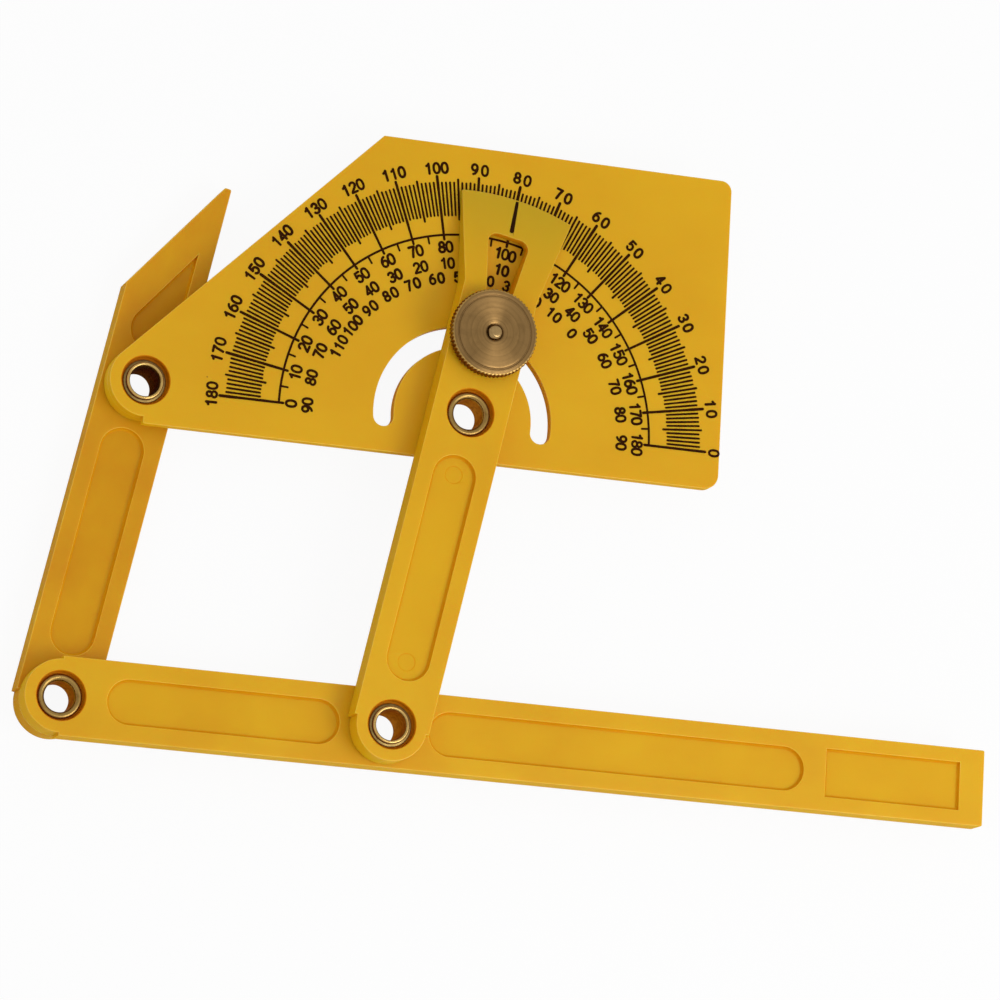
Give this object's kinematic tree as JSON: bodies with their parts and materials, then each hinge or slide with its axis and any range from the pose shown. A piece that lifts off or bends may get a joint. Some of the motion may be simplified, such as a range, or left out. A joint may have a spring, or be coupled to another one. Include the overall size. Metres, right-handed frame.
{
  "type": "angle finder",
  "caption": "Flat protractor plate with a half-round slot and hinged parallel arms: a pointer arm clamped by a thumb nut, a long straight arm and a pointed arm.",
  "frame": {"origin": "axis of the centre pivot, in the plane of the scale face of the plate", "axes": "+X along the base line of the plate towards its zero mark, +Y towards the 90 degree mark, +Z out of the scale face"},
  "size_m": [0.2688, 0.1713, 0.0273],
  "materials": {
    "yellow_plastic": "moulded, satin",
    "turned_brass": "turned, slightly tarnished",
    "white_nylon": "matt",
    "black_ink": "printed, matt"
  },
  "bodies": {
    "plate": {"protractor_plate": "yellow_plastic", "nose_eyelet": "turned_brass", "nose_ring_washer": "turned_brass", "nose_friction_washer": "white_nylon", "centre_eyelet": "turned_brass", "centre_ring_washer": "turned_brass", "centre_friction_washer": "white_nylon"},
    "pointer": {"pointer_arm": "yellow_plastic", "elbow_eyelet": "turned_brass", "elbow_ring_washer": "turned_brass", "elbow_friction_washer": "white_nylon", "clamp_bolt": "turned_brass"},
    "long_arm": {"long_arm": "yellow_plastic"},
    "pointed_arm": {"pointed_arm": "yellow_plastic", "tail_eyelet": "turned_brass", "tail_ring_washer": "turned_brass", "tail_friction_washer": "white_nylon"},
    "washer": {"clamp_washer": "turned_brass"},
    "nut": {"thumb_nut": "turned_brass"}
  },
  "joints": [
    {"name": "pointer_turn", "type": "hinge", "parent": "plate", "child": "pointer", "pos_m": [0, 0, 0], "axis": [0, 0, 1], "range_deg": [-64, 86]},
    {"name": "pointed_turn", "type": "hinge", "parent": "plate", "child": "pointed_arm", "pos_m": [-0.0875, 0, -0.007], "axis": [0, 0, 1], "range_deg": [-64, 86]},
    {"name": "long_turn", "type": "hinge", "parent": "pointer", "child": "long_arm", "pos_m": [-0.0167, -0.08589, 0], "axis": [0, 0, 1], "range_deg": [-86, 64]},
    {"name": "clamp_lift", "type": "slide", "parent": "pointer", "child": "washer", "axis": [0, 0, 1], "range_m": [0, 0.0007]},
    {"name": "nut_spin", "type": "hinge", "parent": "washer", "child": "nut", "pos_m": [0.00422, 0.02169, 0.01], "axis": [0, 0, 1], "range_deg": [0, 360]}
  ],
  "couplings": [
    {"joint": "pointed_turn", "follows": "pointer_turn", "ratio": 1},
    {"joint": "long_turn", "follows": "pointer_turn", "ratio": -1},
    {"joint": "clamp_lift", "follows": "nut_spin", "m_per_rad": 0.00011141}
  ]
}
